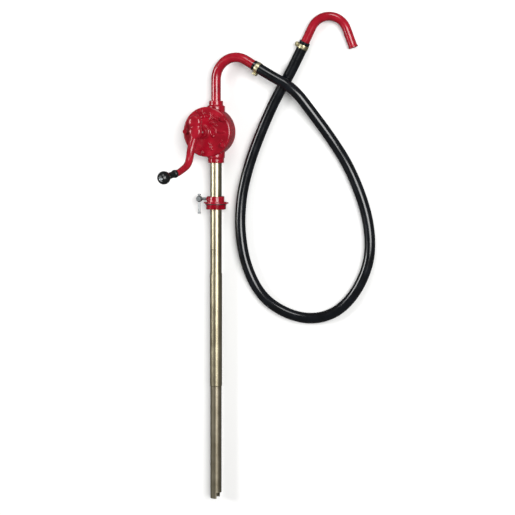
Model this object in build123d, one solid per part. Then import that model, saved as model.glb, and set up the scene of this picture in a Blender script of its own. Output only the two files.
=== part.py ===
from build123d import *
import math
import os

# Rotary hand transfer pump for drums, lying on its back on a flat surface.
# Millimetres. Z is up, out of the front cover. Y runs towards the spout, X across the pump.
# The origin is the centre of the casing's flat back face.

# ---- driving dimensions -------------------------------------------------------------
# casing and cover
CASE_RADIUS = 73.5
CASE_DEPTH = 46.0
FLANGE_LIP = 2.5
FLANGE_THICKNESS = 9.0
BACK_EDGE = 5.0
GASKET_THICKNESS = 0.5
COVER_THICKNESS = 13.5
COVER_EDGE = 3.5
CHAMBER_WALL = 15.5
CHAMBER_FLOOR = 10.0
BOLT_COUNT = 5
BOLT_CIRCLE_INSET = 9.0
BOLT_RADIUS = 4.0
BOLT_HOLE_GAP = 0.3
BOLT_HEAD_WIDTH = 13.0
BOLT_HEAD_HEIGHT = 5.3
BOLT_BOSS_RADIUS = 8.6
BOLT_BOSS_HEIGHT = 2.5
BOLT_THREAD_DEPTH = 17.0
BOLT_END_GAP = 1.0
WASHER_INSET = 0.6
WASHER_THICKNESS = 1.6
RIB_INNER_RADIUS = 34.0
RIB_OUTER_RADIUS = 56.0
RIB_WIDTH = 5.0
RIB_HEIGHT = 2.0
PAD_CENTRE = (21.0, 3.0)
PAD_RADIUS = 12.0
PAD_HEIGHT = 2.0

# ports, whose common axis is parallel to Y
PORT_X = 20.0
PORT_Z = 33.0
NECK_LENGTH = 17.5
NECK_SHOULDER_RADIUS = 26.0
NECK_SHOULDER_LENGTH = 3.5
INLET_NECK_RADIUS = 23.5
OUTLET_NECK_RADIUS = 20.5
SOCKET_DEPTH = 16.5
PASSAGE_RADIUS = 12.0

# shaft, rotor and vanes
SHAFT_X = -12.0
SHAFT_RADIUS = 9.0
SHAFT_BOTTOM = 3.3
SHAFT_END_GAP = 0.3
ROTOR_TIP_GAP = 0.3
ROTOR_END_GAP = 0.1
VANE_COUNT = 4
VANE_THICKNESS = 6.0
VANE_HEIGHT_GAP = 0.2
VANE_SLOT_DEPTH = 24.0
VANE_LENGTH = 17.0
VANE_TIP_INSET = 0.2
FIRST_VANE_ANGLE = 45.0
SPRING_RADIUS = 2.6
SPRING_BORE = 1.7
SPRING_SPREAD = 18.0
KEY_WIDTH = 5.0
KEY_HEIGHT = 4.0
KEY_LENGTH = 24.0
BUSH_RADIUS = 12.0
RUNNING_GAP = 0.06
FREE_GAP = 0.5

# stuffing box
BOX_RADIUS = 18.0
BOX_HEIGHT = 24.0
PACKING_RADIUS = 14.0
PACKING_LENGTH = 12.0
BOX_SHOULDER = 2.0
GLAND_HEX_WIDTH = 33.0
GLAND_HEX_HEIGHT = 9.0

# crank, a one-piece casting with a rounded tail beyond its hub
HUB_GAP = 5.0
HUB_THICKNESS = 29.0
HUB_RADIUS = 19.5
TAIL_OFFSET = (-3.0, 31.0)
TAIL_STEP = 3.0
HUB_EDGE = 8.0
ARM_ROOT_RADIUS = 12.2
ARM_TIP_RADIUS = 9.0
ARM_START_Z = 113.0
ARM_KNEE = (-27.0, -47.0, 117.0)
ARM_ELBOW = (-28.0, -94.0, 133.0)
ARM_END = (-42.5, -117.0, 197.0)
ARM_BEND_RADIUS = 34.0
ARM_BOSS_RADIUS = 9.8
ARM_BOSS_LENGTH = 16.0
PIN_RADIUS = 3.0
PIN_STAND_OUT = 0.8
HANDLE_DIRECTION = (-0.34, -0.20, 0.919)
SPINDLE_RADIUS = 5.0
SPINDLE_DEPTH = 14.0
KNOB_GAP = 0.5
KNOB_LENGTH = 71.0
KNOB_RADIUS = 19.0
KNOB_NECK_RADIUS = 9.2
KNOB_FOOT_RADIUS = 11.6
KNOB_FOOT_LENGTH = 8.0
KNOB_FOOT_TAPER = 2.0
KNOB_NECK_TAPER = 4.0
KNOB_NECK_ANGLE = -64.0
KNOB_FACE_INSET = 3.0
KNOB_STEPS = 20
KNOB_RECESS_RADIUS = 9.5
KNOB_RECESS_DEPTH = 7.0
KNOB_WASHER_INSET = 0.6
KNOB_WASHER_THICKNESS = 1.2
KNOB_END_GAP = 0.3
SPINDLE_HEAD_RADIUS = 7.5
SPINDLE_HEAD_HEIGHT = 4.0
SCREW_SLOT_WIDTH = 1.6
SCREW_SLOT_DEPTH = 1.5

# telescopic suction tube
TUBE_RADIUS = 16.85
TUBE_WALL = 1.6
SLEEVE_WALL = 1.15
SLIDE_GAP = 0.1
SLEEVE_TOP = -418.0
SLEEVE_BOTTOM = -759.0
TUBE_OVERLAP = 45.0
TUBE_FOOT = -1100.0
FOOT_NOTCH_WIDTH = 10.0
FOOT_NOTCH_HEIGHT = 18.0
LIP_LENGTH = 3.0
LIP_DEPTH = 0.9

# bung adaptor, which slides and turns on the tube
ADAPTOR_TOP = -190.0
COLLAR_LENGTH = 17.0
COLLAR_RADIUS = 24.5
ADAPTOR_FLANGE_RADIUS = 33.0
ADAPTOR_FLANGE_THICKNESS = 4.5
LUG_REACH = 37.5
LUG_WIDTH = 12.0
BUNG_THREAD_RADIUS = 29.8
BUNG_THREAD_LENGTH = 16.5
THREAD_RELIEF_RADIUS = 28.4
THREAD_RELIEF_LENGTH = 2.3
ADAPTOR_BORE_GAP = 0.35
SEAL_RADIUS = 21.0
SEAL_LENGTH = 6.0
SEAL_INSET = 5.0
GASKET_RING_THICKNESS = 2.0
GASKET_RING_INSET = 0.8

# clamp screw and its sliding cross bar
SCREW_RADIUS = 4.0
SCREW_GAP = 0.08
SCREW_INSET = 8.5
PAD_CLEARANCE = 0.3
PAD_THICKNESS = 3.0
PAD_INSET = 0.4
SCREW_HEAD_X = -33.0
SCREW_HEAD_LENGTH = 20.0
SCREW_HEAD_BALL = 9.5
SCREW_HEAD_FLATS = 12.75
BAR_RADIUS = 3.1
BAR_ABOVE = 15.0
BAR_BELOW = 44.0
BAR_END_RADIUS = 4.6
BAR_END_LENGTH = 4.0

# spout, hose and nozzle
SPOUT_RADIUS = 14.0
SPOUT_WALL = 2.3
SPOUT_RISE = 153.0
SPOUT_BEND_RADIUS = 64.0
SPOUT_BEND_ANGLE = 120.0
SPOUT_REACH = 30.0
SPOUT_TILT = 6.0
SPIGOT_RADIUS = 12.5
SPIGOT_LENGTH = 29.0
HOSE_RADIUS = 15.5
HOSE_BORE = 12.5
NOZZLE_RADIUS = 12.5
NOZZLE_WALL = 1.6
NOZZLE_STEM = 46.0
NOZZLE_BEND_RADIUS = 56.0
NOZZLE_BEND_ANGLE = 133.0
NOZZLE_TIP = 57.0
NOZZLE_FLARE_RADIUS = 14.0
NOZZLE_FLARE_LENGTH = 7.0
NOZZLE_RIM = 1.5
NOZZLE_TILT = 1.6
CLAMP_BAND = 0.9
CLAMP_WIDTH = 12.0
CLAMP_INSET = 15.0
CLAMP_HOUSING_SINK = 0.6
CLAMP_HOUSING = (13.0, 15.0, 8.0)
CLAMP_SCREW_RADIUS = 3.2
CLAMP_SCREW_LENGTH = 21.0
CLAMP_HEAD_WIDTH = 8.0
CLAMP_HEAD_LENGTH = 4.0

# The hose's route, from its end on the spout, over its own far stretch, round the loop
# that lies on the floor, to its end on the nozzle.
HOSE_ROUTE = [
    (141.3, 193.4, 45.8),
    (190.0, 165.2, 51.0),
    (264.0, 127.0, 53.0),
    (315.0, 56.0, 31.0),
    (371.0, -22.0, 15.5),
    (424.0, -102.0, 15.5),
    (470.0, -212.0, 15.5),
    (487.0, -302.0, 15.5),
    (481.5, -382.0, 15.5),
    (441.0, -469.0, 15.5),
    (381.0, -527.0, 15.5),
    (305.0, -547.0, 15.5),
    (225.5, -530.0, 15.5),
    (153.0, -482.0, 15.5),
    (106.0, -392.0, 15.5),
    (88.0, -288.0, 15.5),
    (92.5, -195.0, 15.5),
    (111.5, -112.0, 15.5),
    (143.5, -22.0, 15.5),
    (195.0, 93.0, 15.5),
    (245.0, 175.0, 15.5),
    (287.0, 260.0, 17.0),
]
BEND_SHARE = 0.45

# ---- derived places -----------------------------------------------------------------
BARREL_RADIUS = CASE_RADIUS - FLANGE_LIP
CHAMBER_RADIUS = CASE_RADIUS - CHAMBER_WALL
BOLT_CIRCLE_RADIUS = CASE_RADIUS - BOLT_CIRCLE_INSET
NECK_REACH = CASE_RADIUS + NECK_LENGTH
NECK_SHOULDER_REACH = CASE_RADIUS + NECK_SHOULDER_LENGTH
GASKET_TOP = CASE_DEPTH + GASKET_THICKNESS
FACE_Z = GASKET_TOP + COVER_THICKNESS
BOX_TOP = FACE_Z + BOX_HEIGHT
BUSH_TOP = FACE_Z + BOX_SHOULDER
PACKING_BOTTOM = BUSH_TOP + BOX_SHOULDER
GLAND_TOP = BOX_TOP + GLAND_HEX_HEIGHT
HUB_BOTTOM = GLAND_TOP + HUB_GAP
HUB_TOP = HUB_BOTTOM + HUB_THICKNESS
SHAFT_TOP = HUB_TOP - HUB_EDGE
HANDLE = Plane(origin=ARM_END, z_dir=HANDLE_DIRECTION)
ROTOR_RADIUS = CHAMBER_RADIUS - abs(SHAFT_X) - ROTOR_TIP_GAP
ROTOR_BOTTOM = CHAMBER_FLOOR + ROTOR_END_GAP
ROTOR_TOP = GASKET_TOP - ROTOR_END_GAP
BOLT_HOLE_RADIUS = BOLT_RADIUS + BOLT_HOLE_GAP
FLANGE_TOP = ADAPTOR_TOP - COLLAR_LENGTH
FLANGE_BOTTOM = FLANGE_TOP - ADAPTOR_FLANGE_THICKNESS
ADAPTOR_BOTTOM = FLANGE_BOTTOM - BUNG_THREAD_LENGTH
SLEEVE_BORE = TUBE_RADIUS + SLIDE_GAP
SLEEVE_RADIUS = SLEEVE_BORE + SLEEVE_WALL
SCREW_Y = ADAPTOR_TOP - SCREW_INSET
UPPER_TUBE_FOOT = SLEEVE_TOP - TUBE_OVERLAP
LOWER_TUBE_HEAD = SLEEVE_BOTTOM + TUBE_OVERLAP
UPPER_TUBE_HEAD = SOCKET_DEPTH - NECK_REACH
PAD_FACE_X = PORT_X - TUBE_RADIUS - PAD_CLEARANCE
CLAMP_RADIUS = HOSE_RADIUS + CLAMP_BAND
KNOB_FACE = KNOB_GAP + KNOB_LENGTH - KNOB_FACE_INSET
KNOB_SEAT = KNOB_FACE - KNOB_RECESS_DEPTH
SPINDLE_SEAT = KNOB_SEAT + KNOB_END_GAP + KNOB_WASHER_THICKNESS


def upright(x, y, bottom, top, radius):
    """A cylinder on an axis parallel to Z."""
    return Pos(x, y, bottom) * Cylinder(
        radius, top - bottom, align=(Align.CENTER, Align.CENTER, Align.MIN)
    )


def lengthwise(low, high, radius, x=PORT_X, z=PORT_Z):
    """A cylinder on an axis parallel to Y, between two values of Y."""
    return Plane(origin=(x, low, z), z_dir=(0, 1, 0)) * Cylinder(
        radius, high - low, align=(Align.CENTER, Align.CENTER, Align.MIN)
    )


def crosswise(low, high, radius, y, z=PORT_Z):
    """A cylinder on an axis parallel to X, between two values of X."""
    return Plane(origin=(low, y, z), z_dir=(1, 0, 0)) * Cylinder(
        radius, high - low, align=(Align.CENTER, Align.CENTER, Align.MIN)
    )


def turned(profile, plane):
    """A solid of revolution about the plane's Z axis, from (radius, height) points."""
    flat = make_face(Polyline(*[(r, 0, h) for r, h in profile], close=True))
    return plane * revolve(flat, Axis.Z)


def bolt_places(z):
    """The cover bolts' places on their circle, one of them on the -X side."""
    step = 2 * math.pi / BOLT_COUNT
    return [
        Pos(
            BOLT_CIRCLE_RADIUS * math.cos(math.pi + i * step),
            BOLT_CIRCLE_RADIUS * math.sin(math.pi + i * step),
            z,
        )
        for i in range(BOLT_COUNT)
    ]


def group(solids):
    return Compound(children=list(solids))


def save(shape, node):
    export_step(shape, f"parts/{node}.step")


# ---- casing -------------------------------------------------------------------------
def pump_body():
    profile = [
        (0, 0),
        (BARREL_RADIUS - BACK_EDGE, 0),
        (BARREL_RADIUS, BACK_EDGE),
        (BARREL_RADIUS, CASE_DEPTH - FLANGE_THICKNESS),
        (CASE_RADIUS, CASE_DEPTH - FLANGE_THICKNESS),
        (CASE_RADIUS, CASE_DEPTH),
        (0, CASE_DEPTH),
    ]
    body = turned(profile, Plane.XY)
    necks = lengthwise(-NECK_REACH, 0, INLET_NECK_RADIUS)
    necks += lengthwise(0, NECK_REACH, OUTLET_NECK_RADIUS)
    necks += lengthwise(-NECK_SHOULDER_REACH, NECK_SHOULDER_REACH, NECK_SHOULDER_RADIUS)
    necks -= upright(0, 0, CASE_DEPTH, FACE_Z + PORT_Z, CASE_RADIUS + FREE_GAP)
    body += necks
    body -= upright(0, 0, CHAMBER_FLOOR, CASE_DEPTH, CHAMBER_RADIUS)
    body -= upright(SHAFT_X, 0, SHAFT_BOTTOM - SHAFT_END_GAP, CHAMBER_FLOOR, BUSH_RADIUS)
    body -= lengthwise(-NECK_REACH, NECK_REACH, PASSAGE_RADIUS)
    body -= lengthwise(-NECK_REACH, -NECK_REACH + SOCKET_DEPTH, TUBE_RADIUS)
    body -= lengthwise(NECK_REACH - SOCKET_DEPTH, NECK_REACH, SPOUT_RADIUS)
    for place in bolt_places(CASE_DEPTH):
        body -= place * Cylinder(
            BOLT_RADIUS, BOLT_THREAD_DEPTH, align=(Align.CENTER, Align.CENTER, Align.MAX)
        )
    return body


def cover_gasket():
    ring = upright(0, 0, CASE_DEPTH, GASKET_TOP, CASE_RADIUS - FREE_GAP)
    ring -= upright(0, 0, CASE_DEPTH, GASKET_TOP, CHAMBER_RADIUS)
    for place in bolt_places(CASE_DEPTH):
        ring -= place * Cylinder(BOLT_HOLE_RADIUS, 4 * GASKET_THICKNESS)
    return ring


def front_cover():
    profile = [
        (0, GASKET_TOP),
        (CASE_RADIUS, GASKET_TOP),
        (CASE_RADIUS, FACE_Z - COVER_EDGE),
        (CASE_RADIUS - COVER_EDGE, FACE_Z),
        (0, FACE_Z),
    ]
    cover = turned(profile, Plane.XY)
    cover += upright(SHAFT_X, 0, GASKET_TOP, BOX_TOP, BOX_RADIUS)
    cover += upright(*PAD_CENTRE, GASKET_TOP, FACE_Z + PAD_HEIGHT, PAD_RADIUS)
    for i in range(BOLT_COUNT):
        rib = Pos((RIB_INNER_RADIUS + RIB_OUTER_RADIUS) / 2, 0, FACE_Z) * Box(
            RIB_OUTER_RADIUS - RIB_INNER_RADIUS, RIB_WIDTH, 2 * RIB_HEIGHT
        )
        cover += Rot(0, 0, i * 360 / BOLT_COUNT) * rib
    for place in bolt_places(FACE_Z):
        cover += place * Cylinder(BOLT_BOSS_RADIUS, 2 * BOLT_BOSS_HEIGHT)
    for place in bolt_places(FACE_Z):
        cover -= place * Cylinder(BOLT_HOLE_RADIUS, 3 * COVER_THICKNESS)
    cover -= upright(SHAFT_X, 0, GASKET_TOP, BUSH_TOP, BUSH_RADIUS)
    cover -= upright(SHAFT_X, 0, BUSH_TOP, PACKING_BOTTOM, SHAFT_RADIUS + FREE_GAP)
    cover -= upright(SHAFT_X, 0, PACKING_BOTTOM, BOX_TOP, PACKING_RADIUS)
    return cover


def cover_bolts():
    bottom = CASE_DEPTH - BOLT_THREAD_DEPTH + BOLT_END_GAP
    seat = FACE_Z + BOLT_BOSS_HEIGHT + WASHER_THICKNESS
    bolt = upright(0, 0, bottom, seat, BOLT_RADIUS)
    head = extrude(
        RegularPolygon(BOLT_HEAD_WIDTH / 2, 6, major_radius=False), BOLT_HEAD_HEIGHT
    )
    bolt += Pos(0, 0, seat) * head
    return group(place * bolt for place in bolt_places(0))


def cover_washers():
    ring = Cylinder(BOLT_BOSS_RADIUS - WASHER_INSET, WASHER_THICKNESS)
    ring -= Cylinder(BOLT_HOLE_RADIUS, WASHER_THICKNESS)
    middle = FACE_Z + BOLT_BOSS_HEIGHT + WASHER_THICKNESS / 2
    return group(place * ring for place in bolt_places(middle))


def bush(bottom, top):
    ring = upright(SHAFT_X, 0, bottom, top, BUSH_RADIUS)
    return ring - upright(SHAFT_X, 0, bottom, top, SHAFT_RADIUS + RUNNING_GAP)


def shaft_packing():
    top = PACKING_BOTTOM + PACKING_LENGTH
    ring = upright(SHAFT_X, 0, PACKING_BOTTOM, top, PACKING_RADIUS)
    return ring - upright(SHAFT_X, 0, PACKING_BOTTOM, top, SHAFT_RADIUS + RUNNING_GAP)


def gland_nut():
    nut = upright(SHAFT_X, 0, PACKING_BOTTOM + PACKING_LENGTH, BOX_TOP, PACKING_RADIUS)
    hexagon = extrude(
        RegularPolygon(GLAND_HEX_WIDTH / 2, 6, major_radius=False), GLAND_HEX_HEIGHT
    )
    nut += Pos(SHAFT_X, 0, BOX_TOP) * hexagon
    return nut - upright(SHAFT_X, 0, PACKING_BOTTOM, GLAND_TOP, SHAFT_RADIUS + FREE_GAP)


# ---- rotor --------------------------------------------------------------------------
def key_block():
    middle = (ROTOR_BOTTOM + ROTOR_TOP) / 2
    return Pos(SHAFT_X, SHAFT_RADIUS, middle) * Box(KEY_WIDTH, KEY_HEIGHT, KEY_LENGTH)


def rotor_shaft():
    shaft = upright(SHAFT_X, 0, SHAFT_BOTTOM, SHAFT_TOP, SHAFT_RADIUS)
    shaft -= key_block()
    return shaft - crank_pin()


def vane_turn(index):
    """A rotor slot's own frame, its X axis out along the slot."""
    return Pos(SHAFT_X, 0, 0) * Rot(0, 0, FIRST_VANE_ANGLE + index * 360 / VANE_COUNT)


def vane_slot(index, inner, outer, thickness, bottom, top):
    """A block on a rotor slot's centre plane, between two distances from the shaft."""
    block = Pos((inner + outer) / 2, 0, (bottom + top) / 2) * Box(
        outer - inner, thickness, top - bottom
    )
    return vane_turn(index) * block


def rotor():
    drum = upright(SHAFT_X, 0, ROTOR_BOTTOM, ROTOR_TOP, ROTOR_RADIUS)
    for i in range(VANE_COUNT):
        drum -= vane_slot(
            i,
            ROTOR_RADIUS - VANE_SLOT_DEPTH,
            ROTOR_RADIUS + VANE_THICKNESS,
            VANE_THICKNESS + 2 * RUNNING_GAP,
            ROTOR_BOTTOM,
            ROTOR_TOP,
        )
    drum -= upright(SHAFT_X, 0, ROTOR_BOTTOM, ROTOR_TOP, SHAFT_RADIUS)
    return drum - key_block()


def vane(index):
    """A vane pushed home, its tip just inside the rotor's rim."""
    outer = ROTOR_RADIUS - VANE_TIP_INSET
    return vane_slot(
        index,
        outer - VANE_LENGTH,
        outer,
        VANE_THICKNESS,
        ROTOR_BOTTOM + VANE_HEIGHT_GAP,
        ROTOR_TOP - VANE_HEIGHT_GAP,
    )


def vane_springs():
    """Two short springs behind each vane, as closed tubes of their wire's envelope."""
    inner = ROTOR_RADIUS - VANE_SLOT_DEPTH
    outer = ROTOR_RADIUS - VANE_TIP_INSET - VANE_LENGTH
    middle = (ROTOR_BOTTOM + ROTOR_TOP) / 2
    springs = []
    for i in range(VANE_COUNT):
        for height in (middle - SPRING_SPREAD / 2, middle + SPRING_SPREAD / 2):
            coil = crosswise(inner, outer, SPRING_RADIUS, 0, height)
            coil -= crosswise(inner, outer, SPRING_BORE, 0, height)
            springs.append(vane_turn(i) * coil)
    return group(springs)


# ---- crank --------------------------------------------------------------------------
def crank_pin():
    middle = (HUB_BOTTOM + SHAFT_TOP) / 2
    reach = HUB_RADIUS + PIN_STAND_OUT
    return crosswise(SHAFT_X - reach, SHAFT_X + reach, PIN_RADIUS, 0, middle)


def crank_arm():
    tail = (SHAFT_X + TAIL_OFFSET[0], TAIL_OFFSET[1])
    head = upright(SHAFT_X, 0, HUB_BOTTOM, HUB_TOP, HUB_RADIUS)
    tail_bottom = HUB_BOTTOM + TAIL_STEP
    head += upright(*tail, tail_bottom, HUB_TOP, HUB_RADIUS)
    length = math.hypot(*TAIL_OFFSET)
    web = Pos(length / 2, 0, (tail_bottom + HUB_TOP) / 2) * Box(
        length, 2 * HUB_RADIUS, HUB_TOP - tail_bottom
    )
    angle = math.degrees(math.atan2(TAIL_OFFSET[1], TAIL_OFFSET[0]))
    head += Pos(SHAFT_X, 0, 0) * Rot(0, 0, angle) * web
    head = fillet(head.faces().sort_by(Axis.Z)[-1].outer_wire().edges(), HUB_EDGE)
    spine = FilletPolyline(
        (SHAFT_X, 0, ARM_START_Z), ARM_KNEE, ARM_ELBOW, ARM_END, radius=ARM_BEND_RADIUS
    )
    root = Plane(origin=spine @ 0, z_dir=spine % 0) * Circle(ARM_ROOT_RADIUS)
    tip = Plane(origin=spine @ 1, z_dir=spine % 1) * Circle(ARM_TIP_RADIUS)
    arm = sweep([root, tip], path=spine, multisection=True)
    boss = HANDLE * Cylinder(
        ARM_BOSS_RADIUS, ARM_BOSS_LENGTH, align=(Align.CENTER, Align.CENTER, Align.MAX)
    )
    beyond = HANDLE * Pos(0, 0, ARM_ROOT_RADIUS) * Box(
        *[2 * ARM_BEND_RADIUS] * 2, 2 * ARM_ROOT_RADIUS
    )
    crank = head + (arm - beyond) + boss
    crank -= upright(SHAFT_X, 0, HUB_BOTTOM, SHAFT_TOP, SHAFT_RADIUS)
    crank -= crank_pin()
    crank -= HANDLE * Cylinder(
        SPINDLE_RADIUS, SPINDLE_DEPTH, align=(Align.CENTER, Align.CENTER, Align.MAX)
    )
    return crank


def along_handle(low, high, radius):
    """A cylinder on the handle's axis, between two distances from the arm's end."""
    return HANDLE * Pos(0, 0, low) * Cylinder(
        radius, high - low, align=(Align.CENTER, Align.CENTER, Align.MIN)
    )


def crank_knob():
    foot = KNOB_GAP + KNOB_FOOT_LENGTH
    centre = KNOB_GAP + KNOB_LENGTH - KNOB_RADIUS
    start = math.radians(KNOB_NECK_ANGLE)
    end = math.asin((KNOB_FACE - centre) / KNOB_RADIUS)
    neck = centre + KNOB_RADIUS * math.sin(start) - KNOB_NECK_TAPER
    profile = [(0, KNOB_GAP), (KNOB_FOOT_RADIUS, KNOB_GAP), (KNOB_FOOT_RADIUS, foot)]
    profile += [(KNOB_NECK_RADIUS, foot + KNOB_FOOT_TAPER), (KNOB_NECK_RADIUS, neck)]
    for i in range(KNOB_STEPS + 1):
        a = start + (end - start) * i / KNOB_STEPS
        profile.append((KNOB_RADIUS * math.cos(a), centre + KNOB_RADIUS * math.sin(a)))
    profile.append((0, KNOB_FACE))
    knob = turned(profile, HANDLE)
    knob -= along_handle(KNOB_SEAT, KNOB_FACE, KNOB_RECESS_RADIUS)
    return knob - along_handle(0, KNOB_FACE, SPINDLE_RADIUS + RUNNING_GAP)


def knob_washer():
    low = KNOB_SEAT + KNOB_END_GAP
    ring = along_handle(low, SPINDLE_SEAT, KNOB_RECESS_RADIUS - KNOB_WASHER_INSET)
    return ring - along_handle(low, SPINDLE_SEAT, SPINDLE_RADIUS)


def knob_spindle():
    top = SPINDLE_SEAT + SPINDLE_HEAD_HEIGHT
    spindle = along_handle(-SPINDLE_DEPTH, SPINDLE_SEAT, SPINDLE_RADIUS)
    spindle += along_handle(SPINDLE_SEAT, top, SPINDLE_HEAD_RADIUS)
    slot = Box(2 * SPINDLE_HEAD_RADIUS, SCREW_SLOT_WIDTH, 2 * SCREW_SLOT_DEPTH)
    return spindle - HANDLE * Pos(0, 0, top) * slot


# ---- suction tube -------------------------------------------------------------------
def hollow(low, high, radius, bore):
    return lengthwise(low, high, radius) - lengthwise(low, high, bore)


def upper_tube():
    return hollow(UPPER_TUBE_FOOT, UPPER_TUBE_HEAD, TUBE_RADIUS, TUBE_RADIUS - TUBE_WALL)


def middle_tube():
    """A sleeve over both other tubes, with its two ends rolled in to a small lip."""
    tube = hollow(SLEEVE_BOTTOM, SLEEVE_TOP, SLEEVE_RADIUS, SLEEVE_BORE)
    lip = Plane(origin=(PORT_X, SLEEVE_BOTTOM, PORT_Z), z_dir=(0, 1, 0))
    length = SLEEVE_TOP - SLEEVE_BOTTOM
    outer = SLEEVE_RADIUS + SLEEVE_WALL
    for end, way in ((0, 1), (length, -1)):
        cut = [
            (SLEEVE_RADIUS, end + way * LIP_LENGTH),
            (SLEEVE_RADIUS - LIP_DEPTH, end),
            (outer, end),
            (outer, end + way * LIP_LENGTH),
        ]
        tube -= turned(cut, lip)
    return tube


def lower_tube():
    tube = hollow(TUBE_FOOT, LOWER_TUBE_HEAD, TUBE_RADIUS, TUBE_RADIUS - TUBE_WALL)
    notch = Pos(PORT_X + TUBE_RADIUS, TUBE_FOOT, PORT_Z) * Box(
        2 * FOOT_NOTCH_WIDTH, 2 * FOOT_NOTCH_HEIGHT, 4 * TUBE_RADIUS
    )
    return tube - notch


# ---- bung adaptor -------------------------------------------------------------------
def bung_adaptor():
    body = lengthwise(FLANGE_TOP, ADAPTOR_TOP, COLLAR_RADIUS)
    body += lengthwise(FLANGE_BOTTOM, FLANGE_TOP, ADAPTOR_FLANGE_RADIUS)
    thread_top = FLANGE_BOTTOM - THREAD_RELIEF_LENGTH
    body += lengthwise(thread_top, FLANGE_BOTTOM, THREAD_RELIEF_RADIUS)
    body += lengthwise(ADAPTOR_BOTTOM, thread_top, BUNG_THREAD_RADIUS)
    lugs = Pos(PORT_X, (FLANGE_TOP + FLANGE_BOTTOM) / 2, PORT_Z) * Box(
        2 * LUG_REACH, ADAPTOR_FLANGE_THICKNESS, LUG_WIDTH
    )
    body += lugs
    body -= lengthwise(ADAPTOR_BOTTOM, ADAPTOR_TOP, TUBE_RADIUS + ADAPTOR_BORE_GAP)
    seal_low = ADAPTOR_BOTTOM + SEAL_INSET
    body -= lengthwise(seal_low, seal_low + SEAL_LENGTH, SEAL_RADIUS + RUNNING_GAP)
    outside = PORT_X - ADAPTOR_FLANGE_RADIUS
    return body - crosswise(outside, PORT_X, SCREW_RADIUS + SCREW_GAP, SCREW_Y)


def adaptor_seal():
    low = ADAPTOR_BOTTOM + SEAL_INSET + RUNNING_GAP
    high = ADAPTOR_BOTTOM + SEAL_INSET + SEAL_LENGTH - RUNNING_GAP
    return hollow(low, high, SEAL_RADIUS, TUBE_RADIUS + RUNNING_GAP)


def bung_gasket():
    low = FLANGE_BOTTOM - GASKET_RING_THICKNESS
    outer = ADAPTOR_FLANGE_RADIUS - GASKET_RING_INSET
    return hollow(low, FLANGE_BOTTOM, outer, THREAD_RELIEF_RADIUS)


def clamp_pad():
    back = PAD_FACE_X - PAD_THICKNESS
    return crosswise(back, PAD_FACE_X, SCREW_RADIUS - PAD_INSET, SCREW_Y)


def clamp_screw():
    tip = PAD_FACE_X - PAD_THICKNESS - RUNNING_GAP
    screw = crosswise(SCREW_HEAD_X, tip, SCREW_RADIUS, SCREW_Y)
    head = Pos(SCREW_HEAD_X, SCREW_Y, PORT_Z) * Sphere(SCREW_HEAD_BALL)
    sides = Pos(SCREW_HEAD_X, SCREW_Y, PORT_Z) * Box(
        SCREW_HEAD_LENGTH, 2 * SCREW_HEAD_BALL, SCREW_HEAD_FLATS
    )
    screw += head & sides
    bar = Plane(origin=(SCREW_HEAD_X, SCREW_Y, PORT_Z), z_dir=(0, 1, 0))
    return screw - bar * Cylinder(BAR_RADIUS + SCREW_GAP, 4 * SCREW_HEAD_BALL)


def cross_bar():
    low = SCREW_Y - BAR_BELOW
    high = SCREW_Y + BAR_ABOVE
    bar = lengthwise(low, high, BAR_RADIUS, x=SCREW_HEAD_X)
    bar += lengthwise(low, low + BAR_END_LENGTH, BAR_END_RADIUS, x=SCREW_HEAD_X)
    return bar + lengthwise(high - BAR_END_LENGTH, high, BAR_END_RADIUS, x=SCREW_HEAD_X)


# ---- spout, hose and nozzle ---------------------------------------------------------
def tube_along(path, outer, inner):
    section = Plane(origin=path @ 0, z_dir=path % 0) * (Circle(outer) - Circle(inner))
    return sweep(section, path=path)


def bent_line(points):
    """Straight runs joined by tangent arcs, each as large as its two runs allow."""
    spots = [Vector(*p) for p in points]
    radii = []
    for before, here, after in zip(spots, spots[1:], spots[2:]):
        half = (here - before).get_angle(after - here) / 2
        shorter = min((here - before).length, (after - here).length)
        radii.append(BEND_SHARE * shorter / math.tan(math.radians(half)))
    return FilletPolyline(*points, radius=radii), radii


def u_path(rise, radius, angle, tail):
    """A straight rise along local Y, a bend towards local +X, then a straight tail."""
    start = Line((0, 0), (0, rise))
    bend = JernArc(start=start @ 1, tangent=(0, 1), radius=radius, arc_size=-angle)
    end = bend @ 1
    way = bend % 1
    return Wire([start.edge(), bend.edge(), Line(end, end + way * tail).edge()])


def spout_path(tail):
    rise = SPOUT_RISE - (NECK_REACH - SOCKET_DEPTH)
    path = u_path(rise, SPOUT_BEND_RADIUS, SPOUT_BEND_ANGLE, tail)
    place = Pos(PORT_X, NECK_REACH - SOCKET_DEPTH, PORT_Z) * Rot(0, -SPOUT_TILT, 0)
    return place * path


def spout_pipe():
    path = spout_path(SPOUT_REACH)
    pipe = tube_along(path, SPOUT_RADIUS, SPOUT_RADIUS - SPOUT_WALL)
    mouth = Plane(origin=path @ 1, z_dir=path % 1)
    spigot = mouth * Cylinder(
        SPIGOT_RADIUS, SPIGOT_LENGTH, align=(Align.CENTER, Align.CENTER, Align.MIN)
    )
    bore = mouth * Cylinder(SPOUT_RADIUS - SPOUT_WALL, 4 * SPIGOT_LENGTH)
    return pipe + (spigot - bore)


def hose_end(tip, before):
    """A plane at the hose's end, facing out of it, with its X axis level."""
    way = (Vector(*tip) - Vector(*before)).normalized()
    level = Vector(0, 0, 1).cross(way).normalized()
    return Plane(origin=tip, x_dir=level * -1, z_dir=way)


SPOUT_END = hose_end(HOSE_ROUTE[0], HOSE_ROUTE[1])
NOZZLE_END = hose_end(HOSE_ROUTE[-1], HOSE_ROUTE[-2])


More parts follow.
